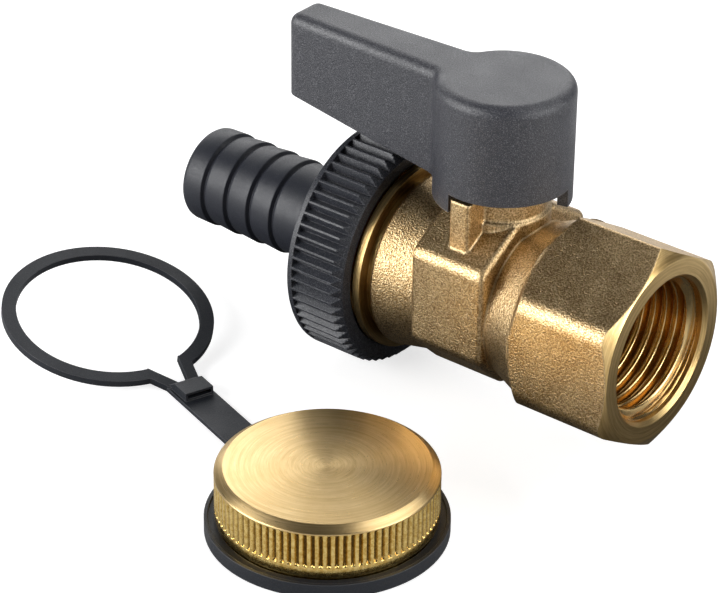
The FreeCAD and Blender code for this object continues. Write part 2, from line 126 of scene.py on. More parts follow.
# Hose tail
tail_bore_r = 4.8
tail_root_r = 6.9
tail_spigot_r = 7.3
tail_flange_thickness = 1.2
tail_tip_r = 7.1
tail_tip_round = 1.0
barb_count = 4
barb_height = 0.3
barb_pitch = 4.35
barb_step = 0.35
barb_groove_depth = 0.3
barb_groove_width = 0.45
first_barb_from_tip = 3.95
tail_edge_round = 0.1
tail_turns = 160
tail_longest_run = 1.5

# Closing cap
cap_knurl_r = outlet_thread_r + 1.88
cap_height = cap_high.z - cap_low.z
cap_thread_length = 6.45
cap_depth = 7.95
cap_relief_r = outlet_thread_r + 0.4
cap_knurl_count = 90
cap_knurl_depth = 0.45
cap_knurl_crest_share = 0.3
cap_top_inset = 1.2
cap_top_chamfer = 0.8
cap_band_height = 1.4
cap_lip_proud = 0.4
cap_lip_height = 1.0
cap_groove_inset = 0.5
cap_groove_height = 1.5
cap_edge_round = 0.12
cap_chamfer_round = 0.2
cap_top_round = 0.15
cap_hole_r = 0.02
cap_points_per_tooth = 10
cap_sharp_deg = 24.0
knurl_top_band = 1.05
knurl_zone_blur = 0.1
knurl_crest_blur = 0.05
knurl_bottom = cap_lip_height + cap_groove_height + cap_band_height
knurl_top = cap_height - knurl_top_band
knurl_end_fade = 0.45

# Camera, fitted to the photograph
camera_place = (197.95, -314.94, 223.87)
camera_azimuth_deg = 38.444
camera_elevation_deg = 30.287
camera_roll_deg = 0.593
camera_lens = 158.93

# Place on the valve that the lights face
light_aim = (-27.0, 0.0, 0.0)

# Painted shadow on the floor round the part, seen only in reflections and bounce light
floor_shadow_centre = (-38.0 * MM, 16.0 * MM, floor_z * MM)
floor_shadow_stretch = 1.5
floor_shadow_r = 38.0
floor_pale_r = 60.0
floor_half_m = 3.0
floor_glow = 0.7
sky_strength = 0.08

# Pressed and blasted brass, with painted shade in the strap groove, and worn edges that also carry a painted
# highlight
pressed_dark = colour(0.53, 0.355, 0.168)
pressed_pale = colour(0.67, 0.475, 0.24)
pit_brown = colour(0.15, 0.082, 0.03)
crest_gold = colour(0.88, 0.69, 0.42)
worn_highlight_gold = colour(0.80, 0.62, 0.36)
groove_shade_brown = colour(0.07, 0.042, 0.018)

# Turned brass: the mouth, the cap, its knurl and the threads, with painted glints on the knurl and painted
# shade in its grooves and in the thread roots
mouth_dark = colour(0.53, 0.345, 0.13)
mouth_pale = colour(0.86, 0.62, 0.28)
turned_dark = colour(0.57, 0.385, 0.16)
turned_pale = colour(0.82, 0.615, 0.315)
tarnish_brown = colour(0.60, 0.40, 0.16)
turned_edge_gold = colour(0.93, 0.76, 0.46)
knurl_dark = colour(0.68, 0.43, 0.10)
knurl_glint_gold = colour(1.0, 0.75, 0.28)
knurl_groove_shade = colour(0.07, 0.032, 0.006)
thread_dark = colour(0.66, 0.44, 0.18)
thread_pale = colour(0.86, 0.63, 0.30)
thread_root_shade = colour(0.45, 0.24, 0.07)

# Plastics, plating and rubber
speck_grey = colour(0.30, 0.30, 0.32)
rubbed_grey = colour(0.22, 0.22, 0.235)
chrome_dark = colour(0.66, 0.66, 0.67)
chrome_pale = colour(0.8, 0.8, 0.8)
seat_dark = colour(0.72, 0.72, 0.70)
seat_pale = colour(0.82, 0.82, 0.80)
rubber_dark = colour(0.012, 0.012, 0.013)
rubber_pale = colour(0.03, 0.03, 0.032)

# Stage
paper_dark = colour(0.60, 0.60, 0.60)
paper_pale = colour(0.62, 0.62, 0.62)
floor_shadow_grey = colour(0.05, 0.05, 0.05)
glow_white = colour(1.0, 1.0, 1.0)
sky_tint = colour(0.95, 0.97, 1.0)


# Node trees

def feed(tree, socket, value):
    """Link a socket to another node's output, or set its value."""
    if isinstance(value, bpy.types.NodeSocket):
        tree.links.new(value, socket)
    else:
        socket.default_value = value


def place(tree, kind, values=None, **settings):
    """Add a node with its settings and its sockets filled, and return it."""
    node = tree.nodes.new("ShaderNode" + kind)
    for name, value in settings.items():
        setattr(node, name, value)
    for socket, value in (values or {}).items():
        feed(tree, node.inputs[socket], value)
    return node


def calc(tree, operation, first, second=0.0, third=0.0):
    """Return one step of arithmetic on values."""
    return place(tree, "Math", {0: first, 1: second, 2: third}, operation=operation).outputs[0]


def vector_calc(tree, operation, first, second=(0, 0, 0), output=0):
    """Return one step of arithmetic on vectors."""
    return place(tree, "VectorMath", {0: first, 1: second}, operation=operation).outputs[output]


def spread(tree, value, low, high, to_low=0.0, to_high=1.0):
    """Return a value stretched from one range to another and held inside it."""
    values = {"Value": value, "From Min": low, "From Max": high, "To Min": to_low, "To Max": to_high}
    return place(tree, "MapRange", values).outputs[0]


def mix_colour(tree, share, first, second):
    """Return the second colour laid over the first by its share."""
    return place(tree, "Mix", {0: share, 6: first, 7: second}, data_type="RGBA").outputs[2]


def mix_value(tree, share, first, second):
    """Return the second value laid over the first by its share."""
    return place(tree, "Mix", {0: share, 2: first, 3: second}, data_type="FLOAT").outputs[0]


def noise(tree, where, scale, detail=2.0, roughness=0.5):
    """Return soft noise with features one over the scale wide."""
    values = {"Vector": where, "Scale": scale, "Detail": detail, "Roughness": roughness}
    return place(tree, "TexNoise", values).outputs[0]


def position(tree):
    """Return the place on the part, in metres."""
    return place(tree, "TexCoord").outputs["Object"]


def bump(tree, height, distance, strength=1.0, normal=None):
    """Return a normal bent by a height that counts for a distance in millimetres."""
    values = {"Height": height, "Distance": distance * MM, "Strength": strength}
    if normal is not None:
        values["Normal"] = normal
    return place(tree, "Bump", values).outputs[0]


# Effects shared by the finishes

def effect(name, inputs, outputs):
    """Start a node group with named sockets, and return its tree, its inputs and its outputs."""
    tree = bpy.data.node_groups.new(name, "ShaderNodeTree")
    for label, kind, value in inputs:
        socket = tree.interface.new_socket(label, in_out="INPUT", socket_type="NodeSocket" + kind)
        socket.default_value = value
    for label, kind in outputs:
        tree.interface.new_socket(label, in_out="OUTPUT", socket_type="NodeSocket" + kind)
    return tree, tree.nodes.new("NodeGroupInput").outputs, tree.nodes.new("NodeGroupOutput").inputs


def use(tree, group, **values):
    """Place an effect with its own values, and return its outputs."""
    named = {label.replace("_", " "): value for label, value in values.items()}
    return place(tree, "Group", named, node_tree=group).outputs


def make_blasted_grain():
    """Pitted grain of a pressed and blasted surface: its height, and a slow drift of tone."""
    tree, given, out = effect(
        "blasted grain", [("Scale", "Float", 3000.0)], [("Height", "Float"), ("Tone", "Float")])
    where = position(tree)
    lumps = noise(tree, where, given["Scale"], detail=3.0, roughness=0.6)
    pits = place(tree, "TexVoronoi", {"Vector": where, "Scale": given["Scale"]}, feature="F1").outputs[0]
    height = calc(tree, "MULTIPLY_ADD", pits, 0.5, lumps)
    drift = noise(tree, where, calc(tree, "MULTIPLY", given["Scale"], 0.06))
    feed(tree, out["Height"], height)
    feed(tree, out["Tone"], drift)
    return tree


def make_soft_edge():
    """Edges rounded over for shading, and how strongly a place lies on one."""
    tree, given, out = effect(
        "soft edge", [("Radius", "Float", 0.0003)], [("Normal", "Vector"), ("Edge", "Float")])
    rounded_normal = place(tree, "Bevel", {"Radius": given["Radius"]}, samples=6).outputs[0]
    face_normal = place(tree, "NewGeometry").outputs["Normal"]
    likeness = vector_calc(tree, "DOT_PRODUCT", rounded_normal, face_normal, "Value")
    feed(tree, out["Normal"], rounded_normal)
    feed(tree, out["Edge"], spread(tree, likeness, 0.995, 0.86))
    return tree


def make_turned_rings():
    """Fine rings left by a turning tool about an axis: their height and a tone for each ring."""
    tree, given, out = effect(
        "turned rings",
        [("Centre", "Vector", (0, 0, 0)), ("Across", "Vector", (0, 1, 1)), ("Scale", "Float", 6000.0)],
        [("Height", "Float"), ("Tone", "Float")])
    from_centre = vector_calc(tree, "SUBTRACT", position(tree), given["Centre"])
    across = vector_calc(tree, "MULTIPLY", from_centre, given["Across"])
    radius = vector_calc(tree, "LENGTH", across, output="Value")
    along = vector_calc(tree, "LENGTH", vector_calc(tree, "SUBTRACT", from_centre, across), output="Value")
    distance = calc(tree, "MULTIPLY", calc(tree, "ADD", radius, along), given["Scale"])
    radii = place(tree, "CombineXYZ", {0: radius, 1: radius, 2: radius}).outputs[0]
    turn = vector_calc(tree, "MULTIPLY", vector_calc(tree, "DIVIDE", across, radii), (6, 6, 6))
    distances = place(tree, "CombineXYZ", {0: distance, 1: distance, 2: distance}).outputs[0]
    arcs = vector_calc(tree, "ADD", turn, distances)
    feed(tree, out["Height"], noise(tree, arcs, scale=0.58, detail=3.0, roughness=0.7))
    feed(tree, out["Tone"], noise(tree, arcs, scale=0.2, detail=4.0, roughness=0.75))
    return tree


def make_moulded_grain():
    """Fine grain of filled moulded plastic: its height, pale specks and slow drift."""
    tree, given, out = effect(
        "moulded grain", [("Scale", "Float", 4000.0)],
        [("Height", "Float"), ("Specks", "Float"), ("Drift", "Float")])
    where = position(tree)
    fine = noise(tree, where, given["Scale"], detail=3.0, roughness=0.65)
    specks = noise(tree, where, calc(tree, "MULTIPLY", given["Scale"], 1.7), detail=1.0)
    drift = noise(tree, where, calc(tree, "MULTIPLY", given["Scale"], 0.03))
    feed(tree, out["Height"], fine)
    feed(tree, out["Specks"], spread(tree, specks, 0.5, 0.72))
    feed(tree, out["Drift"], drift)
    return tree


blasted_grain = make_blasted_grain()
soft_edge = make_soft_edge()
turned_rings = make_turned_rings()
moulded_grain = make_moulded_grain()


# Finishes

def start_finish(name, **sockets):
    """Start a material, set its shader's plain values, and return it with its tree and shader."""
    material = bpy.data.materials.new(name)
    material.use_nodes = True
    tree = material.node_tree
    shader = tree.nodes["Principled BSDF"]
    for socket, value in sockets.items():
        shader.inputs[socket.replace("_", " ")].default_value = value
    return material, tree, shader.inputs


def machined_zone(tree):
    """Return where the pressed body has been turned bright: its mouth, its bores and its outlet end."""
    where = place(tree, "SeparateXYZ", {0: position(tree)}).outputs
    across = place(tree, "CombineXYZ", {"Y": where["Y"], "Z": where["Z"]}).outputs[0]
    radius = vector_calc(tree, "LENGTH", across, output="Value")
    slope = math.tan(math.radians(hex_chamfer_deg))
    face_r = (hex_flats / 2 - hex_face_inset) * MM
    past_face = calc(tree, "MAXIMUM", calc(tree, "SUBTRACT", radius, face_r), 0.0)
    beyond = calc(tree, "MULTIPLY_ADD", past_face, slope, where["X"])
    edge_blur = machined_blur * MM
    mouth = spread(tree, beyond, mouth_x * MM - 2 * edge_blur, mouth_x * MM - edge_blur)
    bores = spread(tree, radius, bore_zone_r * MM, bore_zone_r * MM - edge_blur)
    outlet = spread(tree, where["X"], (barrel_end_x + outlet_blur) * MM, barrel_end_x * MM)
    low_enough = spread(tree, where["Z"], bore_zone_top * MM, (bore_zone_top - bore_zone_blur) * MM)
    bores = calc(tree, "MULTIPLY", bores, low_enough)
    return calc(tree, "MAXIMUM", calc(tree, "MAXIMUM", mouth, bores), outlet)


def groove_painted_shade(tree):
    """Return where shade and a dark reflection of the nut are painted into the strap groove and the flare
    beside it.
    """
    where = place(tree, "SeparateXYZ", {0: position(tree)}).outputs
    across = place(tree, "CombineXYZ", {"Y": where["Y"], "Z": where["Z"]}).outputs[0]
    radius = vector_calc(tree, "LENGTH", across, output="Value")
    shoulder_front_x = barrel_end_x - groove_width
    flare_end_x = barrel_end_x + flare_shade_width
    flare = spread(tree, where["X"], flare_end_x * MM, barrel_end_x * MM, 0.0, groove_shade_share)
    past_shoulder = spread(tree, where["X"], (shoulder_front_x - 0.1) * MM, (shoulder_front_x - 0.05) * MM)
    below_rim = spread(tree, radius, shoulder_r * MM, (shoulder_r - groove_shade_rim_blur) * MM)
    return calc(tree, "MULTIPLY", flare, calc(tree, "MULTIPLY", past_shoulder, below_rim))


def make_pressed_brass():
    """Hot-pressed and blasted brass, turned bright at its mouth, bores and outlet."""
    material, tree, shader = start_finish("pressed_brass", Metallic=1.0)
    grain = use(tree, blasted_grain, Scale=4300.0)
    rings = use(tree, turned_rings, Scale=10000.0)
    machined = machined_zone(tree)
    edge = use(tree, soft_edge, Radius=mix_value(tree, machined, 0.6 * MM, 0.1 * MM))
    tone = spread(tree, grain["Tone"], 0.3, 0.7)
    pressed = mix_colour(tree, tone, pressed_dark, pressed_pale)
    pit = spread(tree, grain["Height"], 0.80, 0.55, 0.0, 0.75)
    pressed = mix_colour(tree, pit, pressed, pit_brown)
    crest = spread(tree, grain["Height"], 0.75, 0.95, 0.0, 0.6)
    pressed = mix_colour(tree, crest, pressed, crest_gold)
    # Edges lightened for wear and as a painted highlight along the rounded edges
    worn_and_highlight = calc(tree, "MULTIPLY", edge["Edge"], 0.6)
    pressed = mix_colour(tree, worn_and_highlight, pressed, worn_highlight_gold)
    ring_tone = spread(tree, rings["Tone"], 0.35, 0.65)
    turned = mix_colour(tree, ring_tone, mouth_dark, mouth_pale)
    base = mix_colour(tree, machined, pressed, turned)
    # Painted shade and painted dark reflection in the strap groove and on the flare beside it
    base = mix_colour(tree, groove_painted_shade(tree), base, groove_shade_brown)
    feed(tree, shader["Base Color"], base)
    rough = spread(tree, grain["Tone"], 0.2, 0.8, 0.27, 0.37)
    feed(tree, shader["Roughness"], mix_value(tree, machined, rough, 0.28))
    pressed_height = calc(tree, "MULTIPLY", grain["Height"], calc(tree, "SUBTRACT", 1.0, machined))
    turned_height = calc(tree, "MULTIPLY", calc(tree, "MULTIPLY", rings["Height"], 0.4), machined)
    height = calc(tree, "ADD", pressed_height, turned_height)
    feed(tree, shader["Normal"], bump(tree, height, distance=0.07, normal=edge["Normal"]))
    return material


def knurl_finish(tree, where, base, rough):
    """Return colour and roughness with the cap's side glossier, painted glints on its knurl and painted shade
    in the knurl's grooves.
    """
    from_axis = vector_calc(tree, "MULTIPLY", vector_calc(tree, "SUBTRACT", where, cap_axis), (1, 1, 0))
    radius = vector_calc(tree, "LENGTH", from_axis, output="Value")
    groove = spread(tree, radius, (cap_knurl_r - knurl_crest_blur) * MM, (cap_knurl_r - cap_knurl_depth) * MM)
    height = place(tree, "SeparateXYZ", {0: where}).outputs["Z"]
    bottom_z = floor_z + knurl_bottom
    top_z = floor_z + knurl_top
    above = spread(tree, height, bottom_z * MM, (bottom_z + knurl_zone_blur) * MM)
    below = spread(tree, height, (top_z + knurl_zone_blur) * MM, top_z * MM)
    share = calc(tree, "MULTIPLY", groove, calc(tree, "MULTIPLY", above, below))
    # Painted glints on the knurled side, from a noise that also varies its roughness
    glint_noise = noise(tree, where, scale=2200.0, detail=3.0, roughness=0.7)
    side = mix_colour(tree, spread(tree, glint_noise, 0.4, 0.6), knurl_dark, knurl_glint_gold)
    base = mix_colour(tree, calc(tree, "MULTIPLY", below, 0.9), base, side)
    # Painted shade in the knurl's grooves
    base = mix_colour(tree, calc(tree, "MULTIPLY", share, 0.9), base, knurl_groove_shade)
    return base, mix_value(tree, below, rough, spread(tree, glint_noise, 0.35, 0.65, 0.12, 0.24))


def make_turned_brass(name, centre, across, tangent=True):
    """Bright turned brass with fine rings about an axis."""
    material, tree, shader = start_finish(name, Metallic=1.0, Anisotropic=0.6)
    rings = use(tree, turned_rings, Centre=centre, Across=across, Scale=9000.0)
    edge = use(tree, soft_edge, Radius=0.12 * MM)
    where = position(tree)
    tarnish = noise(tree, where, scale=260.0, detail=3.0, roughness=0.6)
    ring_tone = spread(tree, rings["Tone"], 0.3, 0.7)
    base = mix_colour(tree, ring_tone, turned_dark, turned_pale)
    base = mix_colour(tree, spread(tree, tarnish, 0.45, 0.75, 0.0, 0.35), base, tarnish_brown)
    base = mix_colour(tree, calc(tree, "MULTIPLY", edge["Edge"], 0.5), base, turned_edge_gold)
    rough = spread(tree, rings["Height"], 0.3, 0.7, 0.26, 0.38)
    base, rough = knurl_finish(tree, where, base, rough)
    feed(tree, shader["Base Color"], base)
    feed(tree, shader["Roughness"], rough)
    normal = bump(tree, rings["Height"], distance=0.02, strength=0.6, normal=edge["Normal"])
    feed(tree, shader["Normal"], normal)
    if tangent:
        from_centre = vector_calc(tree, "SUBTRACT", where, centre)
        across_place = vector_calc(tree, "MULTIPLY", from_centre, across)
        feed(tree, shader["Tangent"], vector_calc(tree, "NORMALIZE", across_place))
    return material


def make_thread_brass():
    """Freshly cut thread: bright flanks, painted shade in the roots, with faint chatter along the turns."""
    material, tree, shader = start_finish("thread_brass", Metallic=1.0)
    where = position(tree)
    chatter = noise(tree, where, scale=1800.0)
    stain = noise(tree, where, scale=420.0, detail=3.0, roughness=0.6)
    across = vector_calc(tree, "MULTIPLY", where, (0, 1, 1))
    radius = vector_calc(tree, "LENGTH", across, output="Value")
    root = spread(tree, radius, (inlet_thread_r - 0.5 * thread_height) * MM, inlet_thread_r * MM)
    base = mix_colour(tree, stain, thread_dark, thread_pale)
    # Painted shade in the thread roots
    base = mix_colour(tree, calc(tree, "MULTIPLY", root, 0.75), base, thread_root_shade)
    feed(tree, shader["Base Color"], base)
    feed(tree, shader["Roughness"], spread(tree, chatter, 0.3, 0.7, 0.18, 0.26))
    feed(tree, shader["Normal"], bump(tree, chatter, distance=0.008, strength=0.5))
    return material


def make_plastic(name, dark, pale, rough, grain_scale, grain_depth, edge_radius, speck_share, ior):
    """Moulded plastic with fine grain, pale specks and slightly rubbed edges."""
    material, tree, shader = start_finish(name, IOR=ior)
    grain = use(tree, moulded_grain, Scale=grain_scale)
    edge = use(tree, soft_edge, Radius=edge_radius * MM)
    base = mix_colour(tree, grain["Drift"], dark, pale)
    speck = calc(tree, "MULTIPLY", grain["Specks"], speck_share)
    base = mix_colour(tree, speck, base, speck_grey)
    rubbed = calc(tree, "MULTIPLY", edge["Edge"], 0.35)
    base = mix_colour(tree, rubbed, base, rubbed_grey)
    feed(tree, shader["Base Color"], base)
    cloud = spread(tree, grain["Drift"], 0.3, 0.7, 0.06, -0.06)
    pitted = spread(tree, grain["Height"], 0.35, 0.65, rough - 0.08, rough + 0.12)
    feed(tree, shader["Roughness"], calc(tree, "ADD", cloud, pitted))
    normal = bump(tree, grain["Height"], grain_depth, strength=0.7, normal=edge["Normal"])
    feed(tree, shader["Normal"], normal)
    return material


def make_chromed_brass():
    """Polished chrome plating with faint wipe marks."""
    material, tree, shader = start_finish("chromed_brass", Metallic=1.0)
    wipe = noise(tree, position(tree), scale=300.0, detail=4.0, roughness=0.6)
    feed(tree, shader["Base Color"], mix_colour(tree, wipe, chrome_dark, chrome_pale))
    feed(tree, shader["Roughness"], spread(tree, wipe, 0.3, 0.7, 0.06, 0.14))
    return material


def make_seat_plastic():
    """Waxy white seat plastic."""
    material, tree, shader = start_finish("seat_plastic", IOR=1.38)
    cloud = noise(tree, position(tree), scale=500.0)
    feed(tree, shader["Base Color"], mix_colour(tree, cloud, seat_dark, seat_pale))
    feed(tree, shader["Roughness"], spread(tree, cloud, 0.3, 0.7, 0.4, 0.5))
    return material


def make_seal_rubber():
    """Black sealing rubber with a faint bloom."""
    material, tree, shader = start_finish("seal_rubber", IOR=1.5)
    bloom = noise(tree, position(tree), scale=900.0, detail=3.0)
    feed(tree, shader["Base Color"], mix_colour(tree, bloom, rubber_dark, rubber_pale))
    feed(tree, shader["Roughness"], spread(tree, bloom, 0.3, 0.7, 0.5, 0.65))
    return material


cap_axis = (cap_centre.x * MM, cap_centre.y * MM, 0.0)
pressed_brass = make_pressed_brass()
turned_brass = make_turned_brass("turned_brass", cap_axis, (1, 1, 0))
thread_brass = make_thread_brass()
fitting_brass = make_turned_brass("fitting_brass", (0, 0, 0), (0, 1, 1), tangent=False)
handle_plastic = make_plastic(
    "handle_plastic", dark=colour(0.012, 0.013, 0.019), pale=colour(0.020, 0.021, 0.029),
    rough=0.42, grain_scale=4600.0, grain_depth=0.09, edge_radius=0.25, speck_share=0.35, ior=1.62)
nut_plastic = make_plastic(
    "nut_plastic", dark=colour(0.009, 0.011, 0.016), pale=colour(0.016, 0.018, 0.025),
    rough=0.38, grain_scale=4600.0, grain_depth=0.05, edge_radius=0.1, speck_share=0.3, ior=1.45)
tail_plastic = make_plastic(
    "tail_plastic", dark=colour(0.011, 0.013, 0.019), pale=colour(0.018, 0.020, 0.028),
    rough=0.42, grain_scale=5200.0, grain_depth=0.012, edge_radius=0.15, speck_share=0.05, ior=1.42)
strap_plastic = make_plastic(
    "strap_plastic", dark=colour(0.008, 0.010, 0.014), pale=colour(0.015, 0.017, 0.022),
    rough=0.45, grain_scale=5200.0, grain_depth=0.012, edge_radius=0.15, speck_share=0.05, ior=1.36)
chromed_brass = make_chromed_brass()
seat_plastic = make_seat_plastic()
seal_rubber = make_seal_rubber()

node_finishes = {
    "valve_body": pressed_brass,
    "ball": chromed_brass,
    "inlet_seat": seat_plastic,
    "outlet_seat": seat_plastic,
    "seat_retainer": fitting_brass,
    "stem": fitting_brass,
    "stem_thrust_washer": seat_plastic,
    "stem_o_ring_lower": seal_rubber,
    "stem_o_ring_upper": seal_rubber,
    "handle": handle_plastic,
    "hose_tail": tail_plastic,
    "hose_tail_gasket": seal_rubber,
    "union_nut": nut_plastic,
    "closing_cap": turned_brass,
    "cap_gasket": seal_rubber,
    "cap_retainer": strap_plastic,
}
for node, finish in node_finishes.items():
    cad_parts[node].data.materials.clear()
    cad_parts[node].data.materials.append(finish)


# Meshes

def make_piece(name, mesh_data, finish, body, node=None, sharp_deg=32.0):
    """Make a piece from points in millimetres and faces, set it on its body and let it stand for its node."""
    points, faces = mesh_data
    mesh = bpy.data.meshes.new(name)
    mesh.from_pydata([[size * MM for size in point] for point in points], [], faces)
    shell = bmesh.new()
    shell.from_mesh(mesh)
    bmesh.ops.recalc_face_normals(shell, faces=shell.faces)
    shell.to_mesh(mesh)
    shell.free()
    mesh.shade_smooth()
    mesh.set_sharp_from_angle(angle=math.radians(sharp_deg))
    mesh.materials.append(finish)
    piece = bpy.data.objects.new(name, mesh)
    bpy.context.scene.collection.objects.link(piece)
    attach(piece, body)
    if node:
        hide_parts(node)


def rounded(corners, steps=4):
    """Return a closed outline from (along, radius) or (along, radius, rounding) corners."""
    outline = []
    for index, corner in enumerate(corners):
        here = Vector(corner[:2])
        if len(corner) == 2:
            outline.append(here)
            continue
        back = (Vector(corners[index - 1][:2]) - here).normalized()
        ahead = (Vector(corners[(index + 1) % len(corners)][:2]) - here).normalized()
        half = back.angle(ahead) / 2
        centre = here + (back + ahead).normalized() * corner[2] / math.sin(half)
        start = here + back * corner[2] / math.tan(half) - centre
        end = here + ahead * corner[2] / math.tan(half) - centre
        for step in range(steps + 1):
            outline.append(centre + start.slerp(end, step / steps) * corner[2])
    return outline


def cut_fine(outline, longest):
    """Return a closed outline with its long straight runs cut into shorter ones."""
    fine = []
    for index, here in enumerate(outline):
        ahead = outline[(index + 1) % len(outline)]
        pieces = max(1, math.ceil((ahead - here).length / longest))
        for step in range(pieces):
            fine.append(here.lerp(ahead, step / pieces))
    return fine


def about_x(along, across, up):
    return (along, across, up)


def about_cap(along, across, up):
    return (cap_centre.x + across, cap_centre.y + up, floor_z + along)


def spun(outline, turns, axis, shape=None):
    """Spin a closed outline about an axis; shape may change the radius with the angle."""
    points = []
    faces = []
    count = len(outline)
    for turn in range(turns):
        angle = 2 * math.pi * turn / turns
        here = turn * count
        there = (turn + 1) % turns * count
        for step, (along, radius) in enumerate(outline):
            if shape:
                radius = shape(angle, along, radius)
            points.append(axis(along, radius * math.cos(angle), radius * math.sin(angle)))
            ahead = (step + 1) % count
            faces.append((here + step, here + ahead, there + ahead, there + step))
    return points, faces


def tooth(angle, count, crest_share):
    """Return how far up a straight-flanked tooth an angle lies, from 0 at the root to 1 on the crest."""
    from_crest = abs((angle * count / (2 * math.pi) + 0.5) % 1 - 0.5) * 2
    return min(1.0, (1.0 - from_crest) / (1.0 - crest_share))


def thread_form(angle, along):
    """Return the height in a thread's section, from 0 in the root to 1 on the crest, with rounded ends."""
    phase = (along / thread_pitch - angle / (2 * math.pi)) % 1
    ramp = (abs(2 * phase - 1) - thread_flat_share) / (1 - 2 * thread_flat_share)
    ramp = min(1.0, max(0.0, ramp))
    return ramp * ramp * (3 - 2 * ramp)


def inside_thread(name, major_r, start, end, axis, finish, body):
    """Make the turns of an inside thread, chamfered from its mouth and running out at its far end."""
    reach = abs(end - start)
    direction = math.copysign(1.0, end - start)

    def shape(angle, along, radius):
        if radius > major_r:
            return radius
        depth = (along - start) * direction
        height = thread_height * thread_form(angle, along)
        height = min(height, depth)
        fade = min(1.0, max(0.0, (reach - depth) / thread_runout))
        return major_r - height * fade

    outline = [Vector((start, major_r + thread_bed)), Vector((end, major_r + thread_bed))]
    steps = round(reach / thread_step)
    outline += [Vector((end + (start - end) * step / steps, major_r)) for step in range(steps + 1)]
    mesh_data = spun(outline, inside_thread_turns, axis, shape)
    make_piece(name, mesh_data, finish, body, sharp_deg=thread_sharp_deg)


def outside_thread(name, root_r, start, end, finish, body):
    """Make the turns of an outside thread about the X axis, chamfered at its free end."""
    reach = abs(end - start)

    def shape(angle, along, radius):
        if radius < root_r:
            return radius
        from_end = abs(along - end)
        height = thread_height * thread_form(angle + math.pi, along)
        fade = min(1.0, max(0.0, (reach - from_end) / thread_runout))
        return root_r + min(height * fade, from_end)

    outline = [Vector((start, root_r - thread_bed)), Vector((end, root_r - thread_bed))]
    steps = round(reach / thread_step)
    outline += [Vector((end + (start - end) * step / steps, root_r)) for step in range(steps + 1)]
    mesh_data = spun(outline, outside_thread_turns, about_x, shape)
    make_piece(name, mesh_data, finish, body, sharp_deg=thread_sharp_deg)


def make_threads():
    """Make the turns of the inlet, the cap, the nut and the outlet."""
    inside_thread(
        "inlet_thread", inlet_thread_r, -thread_lead, -inlet_thread_depth, about_x,
        thread_brass, "valve")
    inside_thread(
        "cap_thread", outlet_thread_r, cap_thread_start, cap_thread_length, about_cap,
        thread_brass, "cap")
    nut_start = nut_high.x - nut_mouth_depth
    nut_end = nut_low.x + nut_floor_thickness
    inside_thread(
        "nut_thread", nut_bore_r, nut_start, nut_end, about_x, nut_plastic, "nut")
    outside_thread(
        "outlet_thread", outlet_thread_r - thread_height, outlet_x + outlet_thread_length, outlet_x,
        thread_brass, "valve")


def make_nut():
    """Make the union nut with a plain rear rim, V-cut ribs bevelled at the front, and a smooth front lip."""
    root_r = nut_crest_r - nut_rib_height
    front_x = nut_high.x
    rear_x = nut_low.x
    rib_front_x = front_x - nut_lip_width
    rib_rear_x = rear_x + nut_rim_width
    floor_x = rear_x + nut_floor_thickness
    soft = nut_edge_round
    outline = rounded([
        (front_x, nut_bore_r + nut_mouth_step, soft), (front_x, root_r - nut_lip_inset, soft),
        (rib_front_x, root_r), (rib_front_x - nut_rib_bevel, nut_crest_r),
        (rib_rear_x + nut_rib_end_step, nut_crest_r), (rib_rear_x, nut_crest_r),
        (rear_x, nut_crest_r, 2 * soft), (rear_x, nut_hole_r, soft),
        (floor_x, nut_hole_r), (floor_x, nut_bore_r), (front_x - nut_mouth_depth, nut_bore_r)])

    def shape(angle, along, radius):
        ribbed = rib_rear_x < along - nut_rib_end_start and along < rib_front_x and radius > root_r
        if not ribbed:
            return radius
        return min(radius, root_r + nut_rib_height * tooth(angle, nut_rib_count, nut_rib_crest_share))

    mesh_data = spun(cut_fine(outline, nut_longest_run), nut_rib_count * nut_points_per_rib, about_x, shape)
    make_piece("ribbed_union_nut", mesh_data, nut_plastic, "nut", "union_nut", nut_sharp_deg)


def make_tail():
    """Make the hose tail with softened barbs, a rounded tip and its flange."""
    tip_x = tail_low.x
    flange_x = tail_high.x
    flange_r = tail_high.z
    flange_rear_x = flange_x - tail_flange_thickness
    soft = tail_edge_round
    corners = [
        (flange_x, tail_bore_r, soft), (flange_x, flange_r, soft), (flange_rear_x, flange_r, soft),
        (flange_rear_x, tail_spigot_r), (nut_low.x, tail_spigot_r, soft), (nut_low.x, tail_root_r, soft)]
    for index in reversed(range(barb_count)):
        crest_x = tip_x + first_barb_from_tip + index * barb_pitch
        groove_x = crest_x + barb_step
        corners += [
            (groove_x + barb_groove_width, tail_root_r, soft),
            (groove_x, tail_root_r - barb_groove_depth, soft),
            (crest_x, tail_root_r + barb_height, 2 * soft)]
    corners += [(tip_x, tail_tip_r, tail_tip_round), (tip_x, tail_bore_r, soft)]
    mesh_data = spun(cut_fine(rounded(corners), tail_longest_run), tail_turns, about_x)
    make_piece("barbed_hose_tail", mesh_data, tail_plastic, "tail", "hose_tail")


